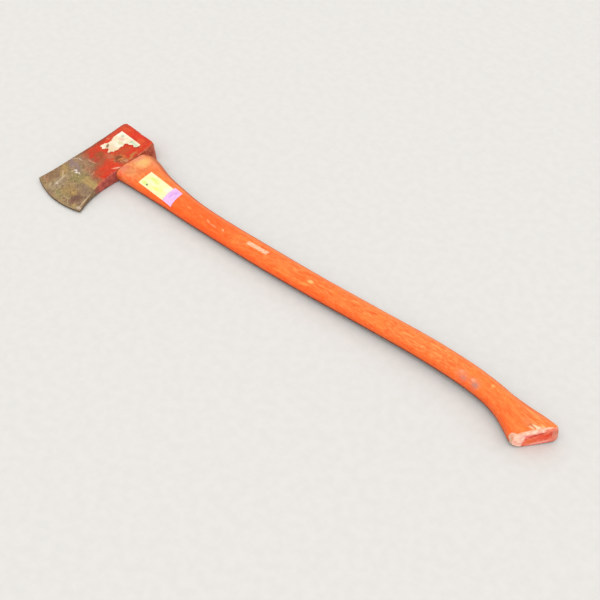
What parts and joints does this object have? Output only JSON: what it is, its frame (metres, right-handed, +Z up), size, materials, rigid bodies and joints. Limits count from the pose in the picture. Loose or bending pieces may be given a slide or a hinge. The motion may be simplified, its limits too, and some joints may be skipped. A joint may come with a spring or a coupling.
{
  "type": "flat-head fire axe",
  "caption": "Long-handled flat-head fire axe: forged steel head with a hammer poll, curved hickory handle with a flared knob, eye wedges and paper labels.",
  "frame": {"origin": "on the floor, under the middle of the axe's bounding box, as the axe lies on one cheek and its knob", "axes": "+X along the handle from the crown of the head to the knob, +Y from the cutting edge towards the poll, +Z up from the floor"},
  "size_m": [0.9268, 0.21, 0.0385],
  "materials": {
    "worn_red_paint_on_steel": "red enamel worn through to rusty brown steel over the bit",
    "orange_red_painted_hickory": "semi-gloss orange-red paint with worn, paler grain and scuffs",
    "bare_wedge_wood": "bare, end grain at the crown",
    "wedge_steel": "dull, lightly rusted",
    "torn_white_paper": "matt, torn and grubby",
    "yellow_paper": "matt, pale yellow",
    "lilac_paper": "matt, lilac"
  },
  "bodies": {
    "root": {"head": "worn_red_paint_on_steel", "handle": "orange_red_painted_hickory", "kerf_wedge": "bare_wedge_wood", "cross_wedge": "wedge_steel", "cheek_label": "torn_white_paper", "yellow_tag": "yellow_paper", "lilac_tag": "lilac_paper"}
  },
  "joints": []
}
